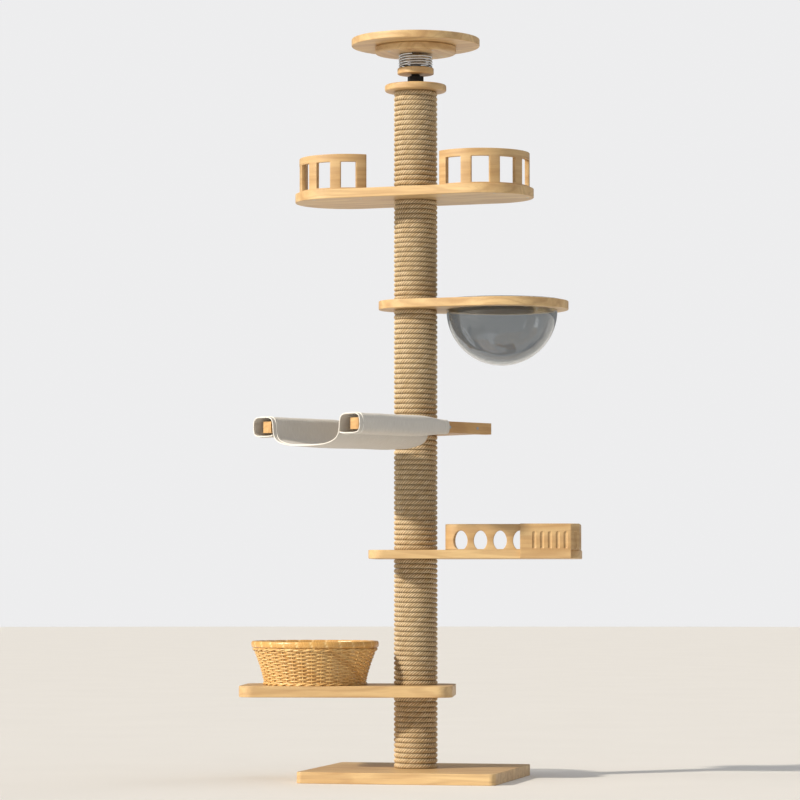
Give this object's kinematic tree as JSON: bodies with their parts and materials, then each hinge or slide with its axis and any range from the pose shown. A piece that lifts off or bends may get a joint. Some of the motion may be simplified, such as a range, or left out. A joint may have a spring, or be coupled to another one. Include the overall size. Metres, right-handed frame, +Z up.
{
  "type": "cat tree",
  "caption": "Floor-to-ceiling cat tree: rope-wrapped column with turnable shelves, basket, bowl, cloth hammock and a sprung screw jack.",
  "frame": {"origin": "centre of the base board's underside, on the column's axis", "axes": "+Z up along the column, -Y towards the front of the base, +X to the right of the base"},
  "size_m": [1.124, 0.8627, 2.4],
  "materials": {
    "birch_board": "clear lacquered birch panel",
    "birch_ply": "clear lacquered bent birch",
    "beech_arm": "clear lacquered beech",
    "sisal_rope": "twisted sisal rope",
    "paper_tube": "wound kraft paper tube",
    "pine_plug": "turned pine",
    "zinc_steel": "zinc plated",
    "black_steel": "black oxide",
    "nylon_bush": "natural nylon",
    "chrome_spring": "bright spring steel",
    "rattan": "woven rattan, honey varnish",
    "grey_canvas": "light grey canvas",
    "clear_acrylic": "clear thermoformed acrylic"
  },
  "bodies": {
    "column": {"base_board": "birch_board", "base_washer": "zinc_steel", "base_bolt": "zinc_steel", "post_tube_1": "paper_tube", "rope_wrap_1": "sisal_rope", "post_plugs_1": "pine_plug", "post_tube_2": "paper_tube", "rope_wrap_2": "sisal_rope", "post_plugs_2": "pine_plug", "post_tube_3": "paper_tube", "rope_wrap_3": "sisal_rope", "post_plugs_3": "pine_plug", "post_tube_4": "paper_tube", "rope_wrap_4": "sisal_rope", "post_plugs_4": "pine_plug", "post_tube_5": "paper_tube", "rope_wrap_5": "sisal_rope", "post_plugs_5": "pine_plug", "post_tube_6": "paper_tube", "rope_wrap_6": "sisal_rope", "post_plugs_6": "pine_plug", "threaded_inserts": "zinc_steel", "joining_studs": "zinc_steel", "collar_screws": "zinc_steel", "top_collar": "birch_board", "jack_bush": "nylon_bush", "jack_washer": "black_steel"},
    "jack_nut": {"jack_nut": "black_steel"},
    "jack_rod": {"jack_rod": "black_steel", "spring_cup": "birch_board", "cup_nut": "black_steel", "ceiling_spring": "chrome_spring"},
    "ceiling_head": {"backing_disc": "birch_board", "ceiling_board": "birch_board", "head_screws": "zinc_steel"},
    "basket_shelf": {"basket_board": "birch_board", "basket_weave": "rattan", "basket_rim": "rattan", "basket_screws": "zinc_steel", "basket_washers": "zinc_steel"},
    "arch_shelf": {"arch_board": "birch_board", "arch_rail": "birch_ply", "front_panel": "birch_ply", "corner_panel": "birch_ply", "side_panel": "birch_ply", "arch_screws": "zinc_steel"},
    "hammock": {"hammock_hub": "beech_arm", "hammock_arm_left": "beech_arm", "hammock_arm_right": "beech_arm", "hammock_cloth": "grey_canvas", "arm_screws": "zinc_steel"},
    "bowl_shelf": {"ring_board": "birch_board"},
    "bowl": {"acrylic_bowl": "clear_acrylic"},
    "fence_shelf": {"fence_board": "birch_board", "fence_left": "birch_ply", "fence_right": "birch_ply", "fence_screws": "zinc_steel"}
  },
  "joints": [
    {"name": "basket_shelf_turn", "type": "hinge", "parent": "column", "child": "basket_shelf", "pos_m": [0, 0, 0.285], "axis": [0, 0, 1], "continuous": true},
    {"name": "arch_shelf_turn", "type": "hinge", "parent": "column", "child": "arch_shelf", "pos_m": [0, 0, 0.723], "axis": [0, 0, 1], "continuous": true},
    {"name": "hammock_turn", "type": "hinge", "parent": "column", "child": "hammock", "pos_m": [0, 0, 1.127], "axis": [0, 0, 1], "continuous": true},
    {"name": "bowl_shelf_turn", "type": "hinge", "parent": "column", "child": "bowl_shelf", "pos_m": [0, 0, 1.53], "axis": [0, 0, 1], "continuous": true},
    {"name": "fence_shelf_turn", "type": "hinge", "parent": "column", "child": "fence_shelf", "pos_m": [0, 0, 1.887], "axis": [0, 0, 1], "continuous": true},
    {"name": "bowl_lift", "type": "slide", "parent": "bowl_shelf", "child": "bowl", "axis": [0, 0, 1], "range_m": [0, 0.19]},
    {"name": "jack_turn", "type": "hinge", "parent": "column", "child": "jack_nut", "pos_m": [0, 0, 2.266], "axis": [0, 0, -1], "range_deg": [-514.29, 6171.43]},
    {"name": "jack_lift", "type": "slide", "parent": "column", "child": "jack_rod", "axis": [0, 0, 1], "range_m": [-0.005, 0.06]},
    {"name": "spring_press", "type": "slide", "parent": "jack_rod", "child": "ceiling_head", "axis": [0, 0, 1], "range_m": [-0.01, 0], "stiffness_N_per_m": 5500, "springref_m": 0.0065, "deforming": ["ceiling_spring"]}
  ],
  "couplings": [
    {"joint": "jack_turn", "follows": "jack_lift", "rad_per_m": 1795.2}
  ]
}
